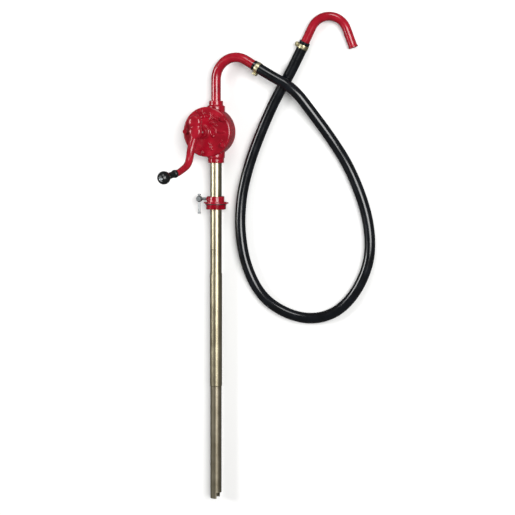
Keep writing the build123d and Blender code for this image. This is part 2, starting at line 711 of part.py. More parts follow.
def nozzle_pipe():
    """The hooked nozzle: its foot inside the hose, its mouth turned back and down."""
    foot = SPIGOT_LENGTH
    path = u_path(
        foot + NOZZLE_STEM, NOZZLE_BEND_RADIUS, NOZZLE_BEND_ANGLE, NOZZLE_TIP
    )
    base = Plane(
        origin=NOZZLE_END.origin - NOZZLE_END.z_dir * foot,
        x_dir=NOZZLE_END.x_dir,
        z_dir=NOZZLE_END.x_dir.cross(NOZZLE_END.z_dir),
    )
    path = base * Rot(0, NOZZLE_TILT, 0) * path
    pipe = tube_along(path, NOZZLE_RADIUS, NOZZLE_RADIUS - NOZZLE_WALL)
    mouth = Plane(origin=path @ 1, z_dir=(path % 1) * -1)
    flare = [
        (NOZZLE_RADIUS - NOZZLE_WALL / 2, 0),
        (NOZZLE_FLARE_RADIUS, 0),
        (NOZZLE_FLARE_RADIUS, NOZZLE_RIM),
        (NOZZLE_RADIUS, NOZZLE_FLARE_LENGTH),
        (NOZZLE_RADIUS - NOZZLE_WALL / 2, NOZZLE_FLARE_LENGTH),
    ]
    return pipe + turned(flare, mouth)


def hose():
    path, radii = bent_line(HOSE_ROUTE)
    print("hose bend radii", [round(r) for r in radii], "length", round(path.length))
    tube = tube_along(path, HOSE_RADIUS, HOSE_BORE)
    section = math.pi * (HOSE_RADIUS**2 - HOSE_BORE**2)
    print("hose volume over section times length", tube.volume / (section * path.length))
    return tube


def clamp_place(end, turn):
    """A clamp's own frame on a hose end: Z along the hose, X out through its housing."""
    return end * Pos(0, 0, -CLAMP_INSET) * Rot(0, 0, turn)


def clamp_axis(radius, length):
    """The worm's own axis, square to the hose through the middle of the housing."""
    place = Pos(CLAMP_RADIUS + CLAMP_HOUSING[2] / 2, 0, 0) * Rot(90, 0, 0)
    return place * Cylinder(radius, length)


def clamp_band(place):
    width, length, height = CLAMP_HOUSING
    band = Cylinder(CLAMP_RADIUS, CLAMP_WIDTH) - Cylinder(HOSE_RADIUS, CLAMP_WIDTH)
    middle = CLAMP_RADIUS + height / 2 - CLAMP_HOUSING_SINK
    housing = Pos(middle, 0, 0) * Box(height, length, width)
    housing -= Cylinder(CLAMP_RADIUS, width)
    return place * (band + housing - clamp_axis(CLAMP_SCREW_RADIUS + SCREW_GAP, 2 * length))


def clamp_worm(place):
    head = extrude(
        RegularPolygon(CLAMP_HEAD_WIDTH / 2, 6, major_radius=False), CLAMP_HEAD_LENGTH
    )
    outside = Pos(CLAMP_RADIUS + CLAMP_HOUSING[2] / 2, -CLAMP_SCREW_LENGTH / 2, 0)
    worm = clamp_axis(CLAMP_SCREW_RADIUS, CLAMP_SCREW_LENGTH)
    return place * (worm + outside * Rot(90, 0, 0) * head)


# ---- files --------------------------------------------------------------------------
os.makedirs("parts", exist_ok=True)

save(pump_body(), "pump_body")
save(cover_gasket(), "cover_gasket")
save(front_cover(), "front_cover")
save(cover_bolts(), "cover_bolts")
save(cover_washers(), "cover_washers")
save(bush(SHAFT_BOTTOM, CHAMBER_FLOOR), "rear_bush")
save(bush(GASKET_TOP, BUSH_TOP), "front_bush")
save(shaft_packing(), "shaft_packing")
save(gland_nut(), "gland_nut")
save(rotor_shaft(), "rotor_shaft")
save(rotor(), "rotor")
save(key_block(), "rotor_key")
for number in range(VANE_COUNT):
    save(vane(number), f"vane_{number + 1}")
save(vane_springs(), "vane_springs")
save(crank_arm(), "crank_arm")
save(crank_pin(), "crank_pin")
save(knob_spindle(), "knob_spindle")
save(knob_washer(), "knob_washer")
save(crank_knob(), "crank_knob")
save(upper_tube(), "upper_tube")
save(middle_tube(), "middle_tube")
save(lower_tube(), "lower_tube")
save(bung_adaptor(), "bung_adaptor")
save(adaptor_seal(), "adaptor_seal")
save(bung_gasket(), "bung_gasket")
save(clamp_pad(), "clamp_pad")
save(clamp_screw(), "clamp_screw")
save(cross_bar(), "cross_bar")
save(spout_pipe(), "spout_pipe")
save(hose(), "hose")
save(nozzle_pipe(), "nozzle_pipe")
spout_clamp = clamp_place(SPOUT_END, 180)
nozzle_clamp = clamp_place(NOZZLE_END, 180)
save(clamp_band(spout_clamp), "spout_clamp_band")
save(clamp_worm(spout_clamp), "spout_clamp_screw")
save(clamp_band(nozzle_clamp), "nozzle_clamp_band")
save(clamp_worm(nozzle_clamp), "nozzle_clamp_screw")
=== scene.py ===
import bmesh
import bpy
import numpy as np
from mathutils import Matrix, Vector


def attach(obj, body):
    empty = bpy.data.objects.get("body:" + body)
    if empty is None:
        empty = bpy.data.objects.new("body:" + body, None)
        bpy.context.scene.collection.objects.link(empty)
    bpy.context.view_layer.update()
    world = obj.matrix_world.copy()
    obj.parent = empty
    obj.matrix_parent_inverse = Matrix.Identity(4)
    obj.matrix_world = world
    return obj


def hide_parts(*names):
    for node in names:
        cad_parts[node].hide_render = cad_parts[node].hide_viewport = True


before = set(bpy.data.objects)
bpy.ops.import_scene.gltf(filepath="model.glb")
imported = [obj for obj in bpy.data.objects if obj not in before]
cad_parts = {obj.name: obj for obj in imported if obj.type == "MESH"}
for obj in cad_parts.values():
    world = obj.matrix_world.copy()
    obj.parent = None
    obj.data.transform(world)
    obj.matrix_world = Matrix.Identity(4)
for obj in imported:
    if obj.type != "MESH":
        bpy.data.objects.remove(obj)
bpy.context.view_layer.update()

# ---- Camera ------------------------------------------------------------------------
# A long lens, a little over four metres above the pump as it lies on its back, tipped
# towards the hose side and the spout end, so that the crank stands clear of the cover.
AIM = Vector((0.1388, -0.3709, 0.0))
CAMERA_PLACE = Vector((1.5267, 0.0716, 4.1805))
CAMERA_ROLL = np.radians(0.17)
LENS_MM = 104.34
SENSOR_MM = 36.0
FAR_CLIP = 50.0

toward_camera = (CAMERA_PLACE - AIM).normalized()
level = Vector((0, 1, 0)).cross(toward_camera).normalized()
upward = toward_camera.cross(level)
right = level * np.cos(CAMERA_ROLL) + upward * np.sin(CAMERA_ROLL)
camera = bpy.data.objects.new("camera", bpy.data.cameras.new("camera"))
camera.data.lens = LENS_MM
camera.data.sensor_width = SENSOR_MM
camera.data.clip_end = FAR_CLIP
turn = Matrix((right, toward_camera.cross(right), toward_camera)).transposed()
camera.matrix_world = Matrix.Translation(CAMERA_PLACE) @ turn.to_4x4()
bpy.context.scene.collection.objects.link(camera)
bpy.context.scene.camera = camera


# ---- Hose --------------------------------------------------------------------------
# Extruded black oil hose, 31 mm outside and 25 mm inside, pushed over the spout's and
# the nozzle's spigots. From the spout it passes over its own far stretch in a low hump,
# then lies on the floor in one wide loop back to the nozzle.
HOSE_DIAMETER = 0.031
HOSE_STEPS = 16
HOSE_ROUNDNESS = 10
HOSE_ROUTE = [
    (0.1413, 0.1934, 0.0458),
    (0.19, 0.1652, 0.051),
    (0.264, 0.127, 0.053),
    (0.315, 0.056, 0.031),
    (0.371, -0.022, 0.0155),
    (0.424, -0.102, 0.0155),
    (0.47, -0.212, 0.0155),
    (0.487, -0.302, 0.0155),
    (0.4815, -0.382, 0.0155),
    (0.441, -0.469, 0.0155),
    (0.381, -0.527, 0.0155),
    (0.305, -0.547, 0.0155),
    (0.2255, -0.53, 0.0155),
    (0.153, -0.482, 0.0155),
    (0.106, -0.392, 0.0155),
    (0.088, -0.288, 0.0155),
    (0.0925, -0.195, 0.0155),
    (0.1115, -0.112, 0.0155),
    (0.1435, -0.022, 0.0155),
    (0.195, 0.093, 0.0155),
    (0.245, 0.175, 0.0155),
    (0.287, 0.26, 0.017),
]


def linear(code, alpha=1.0):
    """An sRGB hex colour as linear light: each channel below 0.04045 is divided by 12.92,
    and any other is raised to 2.4 after the standard offset."""
    c = np.array([int(code[i : i + 2], 16) for i in (1, 3, 5)]) / 255
    c = np.where(c < 0.04045, c / 12.92, ((c + 0.055) / 1.055) ** 2.4)
    return (*c.tolist(), alpha)


def add(tree, kind, inputs=None, **settings):
    """Adds one node, with its settings, and sets or links each of its named inputs."""
    made = tree.nodes.new(kind)
    for key, value in settings.items():
        setattr(made, key, value)
    for key, value in (inputs or {}).items():
        if isinstance(value, bpy.types.NodeSocket):
            tree.links.new(value, made.inputs[key])
        else:
            made.inputs[key].default_value = value
    return made


def finish_for(name, **constants):
    """A new material with only its shader, whose own sockets hold the constants."""
    finish = bpy.data.materials.new(name)
    finish.use_nodes = True
    shader = finish.node_tree.nodes["Principled BSDF"]
    for key, value in constants.items():
        shader.inputs[key.replace("_", " ")].default_value = value
    return finish, finish.node_tree, shader


def object_place(tree):
    """The socket that gives a point's place on the object, in metres."""
    return add(tree, "ShaderNodeTexCoord").outputs["Object"]


def noise(tree, place, scale, detail, roughness=0.5):
    """A noise of that many grains to the metre, as the socket of its factor."""
    settings = {"Scale": scale, "Detail": detail, "Roughness": roughness}
    return add(tree, "ShaderNodeTexNoise", {"Vector": place, **settings}).outputs["Fac"]


def spread(tree, factor, low, high):
    """Carries the usual values of a noise, 0.3 to 0.7, to the range from low to high."""
    ends = {"From Min": 0.3, "From Max": 0.7, "To Min": low, "To Max": high}
    return add(tree, "ShaderNodeMapRange", {"Value": factor, **ends}).outputs["Result"]


def tint(tree, factor, *pairs):
    """A colour ramp over a factor, each stop a place from 0 to 1 and a hex colour."""
    made = add(tree, "ShaderNodeValToRGB", {"Fac": factor})
    ramp = made.color_ramp
    while len(ramp.elements) < len(pairs):
        ramp.elements.new(0.5)
    for stop, (place, code) in zip(ramp.elements, pairs):
        stop.position = place
        stop.color = linear(code)
    return made.outputs["Color"]


def bumps(tree, factor, strength, depth):
    """A bump of that depth in metres, as the socket of its normal."""
    settings = {"Strength": strength, "Distance": depth}
    return add(tree, "ShaderNodeBump", {"Height": factor, **settings}).outputs["Normal"]


def drive(tree, shader, **sources):
    """Links a source to each of the shader's named sockets."""
    for key, source in sources.items():
        tree.links.new(source, shader.inputs[key.replace("_", " ")])


# Nitrile rubber, extruded: near black with a faint blue cast, and shiny enough for long
# highlights. Its sheen drifts over some centimetres. Its grain of 1 mm is coarser than
# real, so that it shows.
hose_rubber, tree, shader = finish_for("nitrile rubber, extruded", IOR=1.52)
place = object_place(tree)
bloom = noise(tree, place, 28.0, 4.0)
drive(
    tree,
    shader,
    Base_Color=tint(tree, bloom, (0.35, "#05070a"), (0.7, "#0b0f15")),
    Roughness=spread(tree, bloom, 0.15, 0.24),
    Normal=bumps(tree, noise(tree, place, 900.0, 2.0), 0.06, 0.0003),
)

line = bpy.data.curves.new("rubber_hose", "CURVE")
line.dimensions = "3D"
spline = line.splines.new("NURBS")
spline.points.add(len(HOSE_ROUTE) - 1)
for point, spot in zip(spline.points, HOSE_ROUTE):
    point.co = (*spot, 1.0)
spline.order_u = 3
spline.use_endpoint_u = True
line.resolution_u = HOSE_STEPS
line.bevel_depth = HOSE_DIAMETER / 2
line.bevel_resolution = HOSE_ROUNDNESS
line.use_fill_caps = True
line.materials.append(hose_rubber)
hose = bpy.data.objects.new("rubber_hose", line)
bpy.context.scene.collection.objects.link(hose)
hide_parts("hose")
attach(hose, "pump")


# ---- Hose clamps -------------------------------------------------------------------
# Worm-drive clamps in yellow-zinc steel: a slotted band pulled round the hose's end by
# a worm in a pressed housing, 15 mm back from the end of the hose.
MM_PER_METRE = 1000
BAND_INSIDE = 15.52
BAND_RADIUS = 16.4
BAND_WIDTH = 12.0
BAND_SLOT_PITCH = 3.0
CLAMP_BACK = 15.0
HOUSING_SIZE = (7.6, 15.0, 13.0)
HOUSING_OUT = 3.5
HOUSING_HALF_ANGLE = 0.55
WORM_OUT = 4.0
WORM_HEAD_START = -10.5
WORM_HEAD_ACROSS = 8.0
RIDGE_SIZE = (0.5, 1.3, 7.0)
CHAMFER_SLOPE = 1.7
MERGE_METRES = 1e-6


def rounded(outline, reach, steps=4):
    """Rounds the inner corners of a line of points: each corner becomes a quadratic arc
    from a point on the run before it to one on the run after, reach away from the corner
    or half the shorter run, whichever is less."""
    p = np.asarray(outline, float)
    here = p[1:-1]
    back, on = p[:-2] - here, p[2:] - here
    back_length = np.linalg.norm(back, axis=1, keepdims=True)
    on_length = np.linalg.norm(on, axis=1, keepdims=True)
    near = np.minimum(reach, 0.5 * np.minimum(back_length, on_length))
    a = (here + back / back_length * near)[:, None]
    b = (here + on / on_length * near)[:, None]
    t = np.linspace(0, 1, steps + 1)[:, None]
    arcs = (1 - t) ** 2 * a + 2 * t * (1 - t) * here[:, None] + t**2 * b
    return np.vstack([p[:1], arcs.reshape(-1, p.shape[1]), p[-1:]])


def turned(outline, base, way, turns=96):
    """Carries a line of (radius, height) points round an axis: each point goes to base +
    height along the axis + radius along each of the turns' spokes."""
    radius, height = np.asarray(outline, float).T
    way = np.asarray(way, float) / np.linalg.norm(way)
    side = np.cross(way, (0.31, 0.52, 0.79))
    side = side / np.linalg.norm(side)
    angle = np.linspace(0, 2 * np.pi, turns, endpoint=False)[:, None]
    spokes = np.cos(angle) * side + np.sin(angle) * np.cross(way, side)
    return np.asarray(base, float) + height[:, None, None] * way + radius[:, None, None] * spokes


def pillow(size, power=0.28, rows=24, columns=48):
    """A block with rounded edges: a sphere's latitude and longitude, their sines and
    cosines raised to a small power, scaled to the block's half sizes."""
    v = np.linspace(-np.pi / 2, np.pi / 2, rows)[:, None]
    u = np.linspace(0, 2 * np.pi, columns, endpoint=False)[None, :]
    bent = lambda x: np.sign(x) * np.abs(x) ** power
    x, y = bent(np.cos(v)) * bent(np.cos(u)), bent(np.cos(v)) * bent(np.sin(u))
    return np.stack([x, y, bent(np.sin(v)) + 0 * u], axis=-1) * np.asarray(size) / 2


def hexagon(across, height, chamfer, turns=96):
    """A bolt head's side and top: each spoke reaches the hexagon's flat, across / 2 over
    the cosine of its angle from the flat's middle, or the chamfer's cone if that is
    nearer."""
    angle = np.linspace(0, 2 * np.pi, turns, endpoint=False)
    flat = across / 2 / np.cos((angle + np.pi / 6) % (np.pi / 3) - np.pi / 6)
    side = height - chamfer
    level = np.array([0, 0, side / 4, side, height, height])[:, None]
    cone = across / 2 + (height - level) * CHAMFER_SLOPE
    radius = np.minimum(flat, cone)
    radius[[0, -1]] = 0
    return np.stack(
        [radius * np.cos(angle), radius * np.sin(angle), level + 0 * radius], axis=-1
    )


def piece(name, shells, finish, slot, body, *nodes, crease=0.6):
    """Joins shells into one mesh. A shell is a grid of points in millimetres, closed
    round its columns: four-sided faces span each point and its next in row and column,
    points that meet are merged, and faces are turned outward."""
    points, faces, start = [], [], 0
    for grid in shells:
        index = np.arange(grid.shape[0] * grid.shape[1]).reshape(grid.shape[:2]) + start
        after = np.roll(index, -1, axis=1)
        quads = np.stack([index[:-1], after[:-1], after[1:], index[1:]], axis=-1)
        faces.append(quads.reshape(-1, 4))
        points.append(grid.reshape(-1, 3) / MM_PER_METRE)
        start += index.size
    mesh = bpy.data.meshes.new(name)
    mesh.from_pydata(np.vstack(points).tolist(), [], np.vstack(faces).tolist())
    work = bmesh.new()
    work.from_mesh(mesh)
    bmesh.ops.remove_doubles(work, verts=work.verts, dist=MERGE_METRES)
    bmesh.ops.recalc_face_normals(work, faces=work.faces)
    work.to_mesh(mesh)
    work.free()
    mesh.shade_smooth()
    mesh.set_sharp_from_angle(angle=crease)
    mesh.materials.append(finish)
    made = bpy.data.objects.new(name, mesh)
    bpy.context.scene.collection.objects.link(made)
    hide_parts(*nodes)
    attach(made, body)
    return made


# Steel zinc plated and yellow passivated: a metal whose thin film drifts from straw to
# olive over some centimetres, drawn lengthwise in fine lines when the tube was made.
def passivated(name, straw, olive, lines, low, high):
    """The plated finish, its two colours and its roughness between two limits. Drawing
    lines 0.7 mm apart, coarser than real so that they show, run along the axis that the
    scale in lines stretches."""
    finish, tree, shader = finish_for(name, Metallic=1.0)
    place = object_place(tree)
    drift = noise(tree, place, 24.0, 5.0)
    stretch = add(tree, "ShaderNodeMapping", {"Vector": place, "Scale": lines})
    drawn = noise(tree, stretch.outputs["Vector"], 1400.0, 3.0)
    film = tint(tree, drift, (0.3, olive), (0.7, straw))
    shade = spread(tree, drawn, 0.93, 1.03)
    mixed = add(tree, "ShaderNodeVectorMath", {0: film, 1: shade}, operation="MULTIPLY")
    drive(
        tree,
        shader,
        Base_Color=mixed.outputs["Vector"],
        Roughness=spread(tree, drift, low, high),
        Normal=bumps(tree, drawn, 0.02, 0.0002),
    )
    return finish


plated_band = passivated(
    "zinc plate, yellow passivated, band", "#ded6b4", "#b5ac86", (1, 1, 1), 0.28, 0.42
)


def round_z(grid, angle):
    """Turns points about the z axis, by the plane rotation's two sums."""
    c, s = np.cos(angle), np.sin(angle)
    return grid @ np.array([[c, s, 0], [-s, c, 0], [0, 0, 1]])


half_band = BAND_WIDTH / 2
band_edge = [(BAND_INSIDE, 0), (BAND_INSIDE, -half_band), (BAND_RADIUS, -half_band)]
band_edge += [(BAND_RADIUS, half_band), (BAND_INSIDE, half_band), (BAND_INSIDE, 0)]
band = turned(rounded(band_edge, 0.3), (0, 0, 0), (0, 0, 1), 216)
housing = pillow(HOUSING_SIZE, 0.22) + (BAND_RADIUS + HOUSING_OUT, 0, 0)
worm_head = hexagon(WORM_HEAD_ACROSS, 4.0, 0.5, 48)[..., [0, 2, 1]] * (1, -1, 1)
worm_head = worm_head + (BAND_RADIUS + WORM_OUT, WORM_HEAD_START, 0)
shank = rounded([(0, -10.4), (2.7, -10.4), (3.2, -9.8), (3.2, 10.6), (0, 10.6)], 0.3)
shank = turned(shank, (BAND_RADIUS + WORM_OUT, 0, 0), (0, -1, 0), 32)
ridge_count = int(2 * np.pi * BAND_RADIUS / BAND_SLOT_PITCH)
ridge_angles = np.linspace(0, 2 * np.pi, ridge_count, endpoint=False)
ridge_angles = ridge_angles[np.abs(np.angle(np.exp(1j * ridge_angles))) > HOUSING_HALF_ANGLE]
ridge = pillow(RIDGE_SIZE, 0.5, 8, 12) + (BAND_RADIUS, 0, 0)
ridges = [round_z(ridge, angle) for angle in ridge_angles]

for end, tip, before in (
    ("spout", HOSE_ROUTE[0], HOSE_ROUTE[1]),
    ("nozzle", HOSE_ROUTE[-1], HOSE_ROUTE[-2]),
):
    tip, before = np.array(tip) * MM_PER_METRE, np.array(before) * MM_PER_METRE
    along = (tip - before) / np.linalg.norm(tip - before)
    across = np.cross((0, 0, 1), along)
    across = across / np.linalg.norm(across)
    axes = np.stack([across, np.cross(along, across), along])
    middle = tip - CLAMP_BACK * along
    for part, shells, node in (
        ("band_and_housing", (band, housing, *ridges), "band"),
        ("worm", (worm_head, shank), "screw"),
    ):
        piece(
                f"{end}_clamp_{part}",
                [shell @ axes + middle for shell in shells],
                plated_band,
                "yellow_zinc",
                "pump",
                f"{end}_clamp_{node}",
            )


# ---- Floor and light ---------------------------------------------------------------
# A plain pale studio floor just under the pump, soft boxes at either side and at the
# far end, and an even pale surround. Shiny finishes reflect the surround, not the floor.
FLOOR_REACH = 6.0
FLOOR_LEVEL = -0.0003
SURROUND_STRENGTH = 0.14

floor_paint, _, _ = finish_for(
    "studio floor, matt white", Base_Color=linear("#fafaf9"), Roughness=0.9
)
mesh = bpy.data.meshes.new("floor")
floor_corners = [
    (x * FLOOR_REACH, y * FLOOR_REACH, FLOOR_LEVEL) for x, y in ((-1, -1), (1, -1), (1, 1), (-1, 1))
]
mesh.from_pydata(floor_corners, [], [(0, 1, 2, 3)])
mesh.materials.append(floor_paint)
floor = bpy.data.objects.new("floor", mesh)
bpy.context.scene.collection.objects.link(floor)
floor.visible_glossy = False

for name, spot, size, watts in (
    ("soft_box_right", (3.3, 0.5, 4.7), 3.2, 330.0),
    ("soft_box_left", (-3.6, 0.2, 3.0), 1.6, 100.0),
    ("soft_box_end", (0.4, 4.0, 3.6), 2.0, 75.0),
):
    light = bpy.data.lights.new(name, "AREA")
    light.size = size
    light.energy = watts
    lamp = bpy.data.objects.new(name, light)
    lamp.location = spot
    lamp.rotation_euler = (AIM - Vector(spot)).to_track_quat("-Z", "Y").to_euler()
    bpy.context.scene.collection.objects.link(lamp)
world = bpy.data.worlds.new("pale surround")
world.use_nodes = True
surround = world.node_tree.nodes["Background"]
surround.inputs["Color"].default_value = linear("#ffffff")
surround.inputs["Strength"].default_value = SURROUND_STRENGTH
bpy.context.scene.world = world
bpy.context.scene.view_settings.view_transform = "Standard"
bpy.context.scene.view_settings.look = "None"


# ---- Casing ------------------------------------------------------------------------
# Sand-cast grey iron, machined on its back and on the cover's seat, then dipped in red
# enamel: a round body with a bolting flange, and a necked boss for each pipe.
CASE_RADIUS = 73.5
CASE_DEPTH = 46.0
BODY_RADIUS = 71.0
BACK_RADIUS = 66.0
FLANGE_BACK = 37.0
PORT = (20.0, 33.0)
NECK_START = 50.0
NECK_ROOT_RADIUS = 26.0
NECK_SHOULDER = 75.5
NECK_END = 91.0
SOCKET_DEPTH = 15.0
COVER_CLEARANCE_RADIUS = 74.0


# Alkyd enamel, stoved: a clear glossy skin over deep red that drifts a little darker in
# patches of 20 mm. The castings' grain is 2 mm, coarser than moulding sand so that it
# shows, and breaks up their highlights; the pipes' 6 mm swell leaves theirs long.
def enamel(name, grain_size, grain_depth, coat):
    """The red enamel over a ground whose grain has that size and depth in metres."""
    finish, tree, shader = finish_for(
        name, IOR=1.45, Coat_Weight=coat, Coat_Roughness=0.08, Coat_IOR=1.5
    )
    place = object_place(tree)
    cloud = noise(tree, place, 45.0, 4.0)
    drive(
        tree,
        shader,
        Base_Color=tint(tree, cloud, (0.3, "#86071a"), (0.52, "#97091f"), (0.75, "#a60e26")),
        Roughness=spread(tree, cloud, 0.16, 0.26),
    )
    grain = bumps(tree, noise(tree, place, 1 / grain_size, 3.0, 0.55), 0.22, grain_depth)
    drive(tree, shader, Normal=grain, Coat_Normal=grain)
    return finish


cast_enamel = enamel("stoved enamel, red, on cast iron", 0.0022, 0.0009, 0.3)
pipe_enamel = enamel("stoved enamel, red, on steel pipe", 0.006, 0.0004, 0.45)


def neck(way, radius, bore):
    """A pipe neck: a turned boss from the casing's inside, whose points above the flange
    are pushed out to clear the cover's round edge."""
    outline = [(0, NECK_START), (NECK_ROOT_RADIUS, NECK_START), (NECK_ROOT_RADIUS, NECK_SHOULDER)]
    outline += [(radius, NECK_SHOULDER + 2.5), (radius, NECK_END), (bore, NECK_END)]
    floor_of_socket = NECK_END - SOCKET_DEPTH
    outline = np.vstack([rounded(outline, 1.6), [(bore, floor_of_socket), (0, floor_of_socket)]])
    grid = turned(outline, (PORT[0], 0, PORT[1]), (0, way, 0), 128)
    edge = np.sqrt(COVER_CLEARANCE_RADIUS**2 - grid[..., 0] ** 2)
    reach = np.abs(grid[..., 1])
    grid[..., 1] = way * np.where(grid[..., 2] > CASE_DEPTH, np.maximum(reach, edge), reach)
    return grid


barrel = [(0, 0), (BACK_RADIUS, 0), (BODY_RADIUS, BODY_RADIUS - BACK_RADIUS)]
barrel += [(BODY_RADIUS, FLANGE_BACK), (CASE_RADIUS, FLANGE_BACK)]
barrel += [(CASE_RADIUS, CASE_DEPTH), (0, CASE_DEPTH)]
piece(
    "cast_casing",
    [
        turned(rounded(barrel, 1.4), (0, 0, 0), (0, 0, 1), 192),
        neck(-1, 23.5, 16.9),
        neck(1, 20.5, 14.05),
    ],
    cast_enamel,
    "red_enamel",
    "pump",
    "pump_body",
)


# ---- Front cover -------------------------------------------------------------------
# An iron casting held by five screws. Its face carries a shallow groove, five bolt
# bosses and short ribs, two arcs of plain raised blocks, a long low bead, a bar, a dished
# pad, a domed plug and the skirt of the stuffing box, all with drafted edges.
FACE = 60.0
COVER_BACK = 46.6
SHAFT = (-12.0, 0.0)
BOLT_CIRCLE = 64.5
SCREW_COUNT = 5
OUTSIDE = 9.0
BLOCK_PITCH = 6.2
BLOCK_ARCS = ((54.0, 38.0, 150.0), (44.5, 42.0, 140.0))
BEAD_RADIUS = 51.0
PLUG_RADIUS = 5.0
BOX_RADIUS = 18.0
BOX_TOP = 84.0


def raised(distance, edge):
    """Height from 0 to 1 of a cast feature: 1 inside its outline, falling smoothly to 0
    over the draft of its edge, by the cubic 3t2 - 2t3 of the distance outside it."""
    t = np.clip(1 - distance / edge, 0, 1)
    return t * t * (3 - 2 * t)


def bar_distance(x, y, start, end, half):
    """Distance outside a round-ended bar between two points."""
    start, end = np.array(start), np.array(end)
    run = end - start
    t = np.clip(((x - start[0]) * run[0] + (y - start[1]) * run[1]) / (run @ run), 0, 1)
    return np.hypot(x - start[0] - t * run[0], y - start[1] - t * run[1]) - half


def cover_height(x, y):
    """The cover's relief in millimetres above its face: the largest of its features."""
    r, a = np.hypot(x, y), np.degrees(np.arctan2(y, x)) % 360
    height = -1.3 * raised(np.abs(r - 61.5) - 1.6, 1.6)
    for turn in np.radians(np.arange(SCREW_COUNT) * 360 / SCREW_COUNT):
        c, s = np.cos(turn), np.sin(turn)
        rib = bar_distance(x, y, (37 * c, 37 * s), (54 * c, 54 * s), 1.6)
        height = np.maximum(height, 3.0 * raised(rib, 2.2))
        boss = np.hypot(x + BOLT_CIRCLE * c, y + BOLT_CIRCLE * s)
        height = np.maximum(height, 2.5 * raised(boss - 8.2, 1.6))
    for ring, low, high in BLOCK_ARCS:
        phase = (np.radians(a) * ring / BLOCK_PITCH) % 1.0
        block = np.maximum(np.abs(phase - 0.5) * BLOCK_PITCH - 2.0, np.abs(r - ring) - 2.5)
        block = np.where((a > low) & (a < high), block, OUTSIDE)
        height = np.maximum(height, 2.2 * raised(block, 0.8))
    bead = np.where((a > 205) & (a < 335), np.abs(r - BEAD_RADIUS) - 1.2, OUTSIDE)
    height = np.maximum(height, 1.1 * raised(bead, 1.8))
    pad = np.hypot(x - 20, (y - 1) * 0.8)
    dish = 1.2 * raised(pad - 6.5, 2.0)
    height = np.maximum(height, 2.0 * raised(pad - 10.0, 1.6) - dish)
    plug = np.hypot(x - 21, y + 12)
    height = np.maximum(height, 4.0 * np.sqrt(np.clip(1 - (plug / PLUG_RADIUS) ** 2, 0, 1)))
    bar = bar_distance(x, y, (14, 29), (30, 18), 1.8)
    height = np.maximum(height, 3.4 * raised(bar, 2.2))
    skirt = np.hypot(x - SHAFT[0], y - SHAFT[1])
    return np.maximum(height, 3.0 * raised(skirt - BOX_RADIUS, 5.0))


rim = [(0, COVER_BACK), (CASE_RADIUS - 0.1, COVER_BACK), (CASE_RADIUS, 57.0), (69.5, FACE)]
rim = rounded(rim, 1.8, 6)
inward = np.linspace(69.0, 0, 100)
outline = np.vstack([rim, np.stack([inward, FACE + 0 * inward], axis=-1)])
plate = turned(outline, (0, 0, 0), (0, 0, 1), 420)
field = np.arange(len(outline)) >= len(rim)
plate[field, :, 2] += cover_height(plate[field, :, 0], plate[field, :, 1])
box = [(0, 58), (BOX_RADIUS, 58), (BOX_RADIUS, BOX_TOP), (14.2, BOX_TOP)]
box = rounded([*box, (14.2, BOX_TOP - 4), (0, BOX_TOP - 4)], 1.3)
piece(
    "cast_cover",
    [plate, turned(box, (*SHAFT, 0), (0, 0, 1), 128)],
    cast_enamel,
    "red_enamel",
    "pump",
    "front_cover",
    crease=0.9,
)


# ---- Cover screws and gland nut ----------------------------------------------------
# Five M8 hexagon screws on plain washers, enamelled over together with the cover, and
# the turned gland nut that presses the shaft packing.
HEAD_ACROSS = 13.0
HEAD_HEIGHT = 5.3
HEAD_SEAT = 64.1

heads = []
for turn in np.pi + np.arange(SCREW_COUNT) * 2 * np.pi / SCREW_COUNT:
    spot = np.array((BOLT_CIRCLE * np.cos(turn), BOLT_CIRCLE * np.sin(turn), 0))
    heads.append(hexagon(HEAD_ACROSS, HEAD_HEIGHT, 0.7) + spot + (0, 0, HEAD_SEAT))
    shank = rounded([(0, 30.0), (3.4, 30.0), (4.0, 30.8), (4.0, 64.2), (0, 64.2)], 0.3)
    heads.append(turned(shank, spot, (0, 0, 1), 32))
piece("cover_hexagon_screws", heads, cast_enamel, "bright_zinc", "pump", "cover_bolts")


def wear(finish, *nodes):
    """Gives carried-over nodes a finish."""
    for name in nodes:
        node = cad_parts[name]
        if not node.material_slots:
            node.data.materials.append(finish)
        for held in node.material_slots:
            held.material = finish


wear(cast_enamel, "cover_washers", "gland_nut")


# Bare or plated metal: its colour and its gloss drift together over patches some
# millimetres wide, so that a plain surface doesn't look like one flat grey.
def plain_metal(name, light, dark, grain, low, high):
    """A metal finish whose colour and roughness drift between two limits over patches of
    the given size in metres."""
    finish, tree, shader = finish_for(name, Metallic=1.0)
    drift = noise(tree, object_place(tree), 1 / grain, 4.0)
    drive(
        tree,
        shader,
        Base_Color=tint(tree, drift, (0.35, dark), (0.68, light)),
        Roughness=spread(tree, drift, low, high),
    )
    return finish


bright_zinc = plain_metal("zinc plate, bright", "#dfe3e4", "#b4b9bb", 0.006, 0.2, 0.3)
dull_zinc = plain_metal("zinc plate, dulled", "#b3b8b9", "#8a8f91", 0.006, 0.36, 0.48)


# ---- Crank -------------------------------------------------------------------------
# One iron casting, enamelled: a rounded hub with a rounded tail beyond it, and an arm
# that drops away from the hub, then rises to the knob. A cross pin holds it on the shaft.
HUB_RADIUS = 19.5
TAIL_MIDDLE = 31.0
TAIL_END = 50.4
WEB_HALF_WIDTH = 16.5
SPINE_CORNERS = [
    (-17.2, 54, 113.5),
    (-15, 31, 113.5),
    (-12, 0, 113),
    (-27, -47, 117),
    (-28, -94, 133),
]
ARM_ROOT = 12.2
ARM_TIP = 9.0
ARM_END = np.array((-42.5, -117.0, 197.0))
HANDLE = np.array((-0.34, -0.20, 0.919))
HANDLE = HANDLE / np.linalg.norm(HANDLE)


